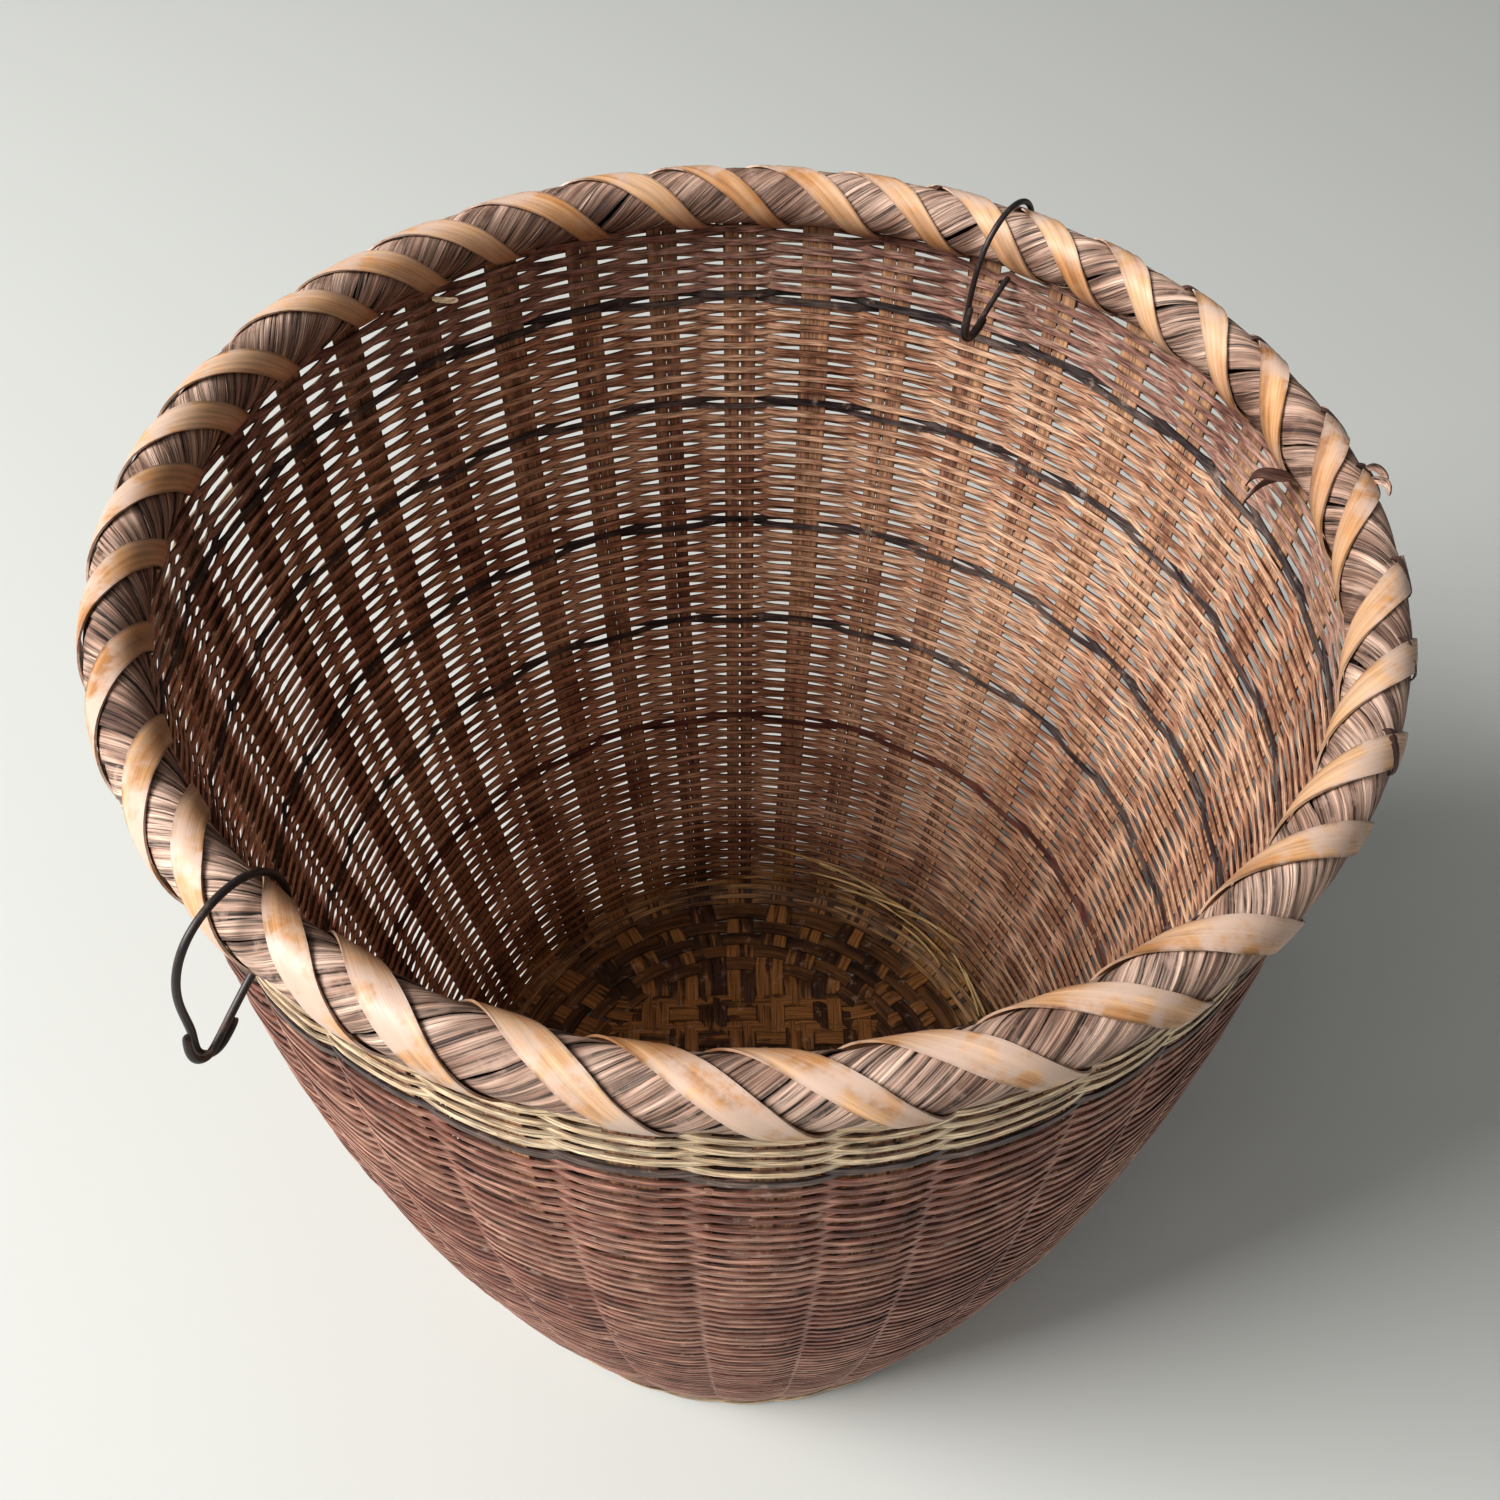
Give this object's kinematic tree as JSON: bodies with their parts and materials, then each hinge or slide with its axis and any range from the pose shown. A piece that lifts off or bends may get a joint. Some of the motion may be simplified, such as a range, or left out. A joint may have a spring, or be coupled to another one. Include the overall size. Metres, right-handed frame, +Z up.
{
  "type": "basket",
  "caption": "Deep round woven farm basket with a square-crossed base, stakes, fine wefts, a bound rolled rim and loose wire hook rings hung on the rim.",
  "frame": {"origin": "centre of the base's underside, on the floor", "axes": "+Z up along the basket's axis; X and Y run along the two sets of splints that cross in the base"},
  "size_m": [0.4232, 0.4232, 0.4572],
  "materials": {
    "splint_bamboo": "flat split bamboo, aged brown, dry satin with fine lengthwise grain",
    "weft_bamboo": "narrow split bamboo weft, reddish to orange brown, satin",
    "top_weft_bamboo": "narrow split bamboo weft, pale yellow tan outside, satin",
    "dark_weft": "black-stained split bamboo rows, matt",
    "base_bamboo": "wide split bamboo rounds, dark olive brown, dusty matt",
    "strand_bamboo": "light tan strand, satin",
    "hoop_bamboo": "split bamboo hoops and filler inside the rim",
    "wrap_bark": "weathered fibrous brown strips wrapped round the rim, matt",
    "lashing_bamboo": "glossy tan bamboo lashing strips with worn pale patches",
    "wire_iron": "black iron wire, satin"
  },
  "bodies": {
    "basket": {"splint_x_1": "splint_bamboo", "splint_y_1": "splint_bamboo", "splint_x_2": "splint_bamboo", "splint_y_2": "splint_bamboo", "splint_x_3": "splint_bamboo", "splint_y_3": "splint_bamboo", "splint_x_4": "splint_bamboo", "splint_y_4": "splint_bamboo", "splint_x_5": "splint_bamboo", "splint_y_5": "splint_bamboo", "splint_x_6": "splint_bamboo", "splint_y_6": "splint_bamboo", "splint_x_7": "splint_bamboo", "splint_y_7": "splint_bamboo", "splint_x_8": "splint_bamboo", "splint_y_8": "splint_bamboo", "splint_x_9": "splint_bamboo", "splint_y_9": "splint_bamboo", "weft_band_2": "weft_bamboo", "weft_band_3": "weft_bamboo", "weft_band_4": "weft_bamboo", "weft_band_5": "weft_bamboo", "weft_band_6": "weft_bamboo", "weft_band_1": "top_weft_bamboo", "dark_ring_1": "dark_weft", "dark_ring_2": "dark_weft", "dark_ring_3": "dark_weft", "dark_ring_4": "dark_weft", "dark_ring_5": "dark_weft", "base_round_1": "base_bamboo", "base_round_2": "base_bamboo", "base_round_3": "base_bamboo", "base_round_4": "base_bamboo", "base_round_5": "base_bamboo", "foot_strand": "strand_bamboo", "rim_hoop_inner": "hoop_bamboo", "rim_hoop_outer": "hoop_bamboo", "rim_filler": "hoop_bamboo", "rim_wrap": "wrap_bark", "rim_lashing_a": "lashing_bamboo", "rim_lashing_b": "lashing_bamboo"},
    "ring_outside": {"wire_ring_outside": "wire_iron"},
    "ring_inside": {"wire_ring_inside": "wire_iron"}
  },
  "joints": [
    {"name": "outside_ring_swing", "type": "hinge", "parent": "basket", "child": "ring_outside", "pos_m": [-0.13486, -0.14769, 0.421], "axis": [-0.8712, 0.4909, 0], "range_deg": [0, 38]},
    {"name": "inside_ring_swing", "type": "hinge", "parent": "basket", "child": "ring_inside", "pos_m": [0.10922, 0.16754, 0.421], "axis": [-0.7976, 0.6032, 0], "range_deg": [0, 38]}
  ]
}
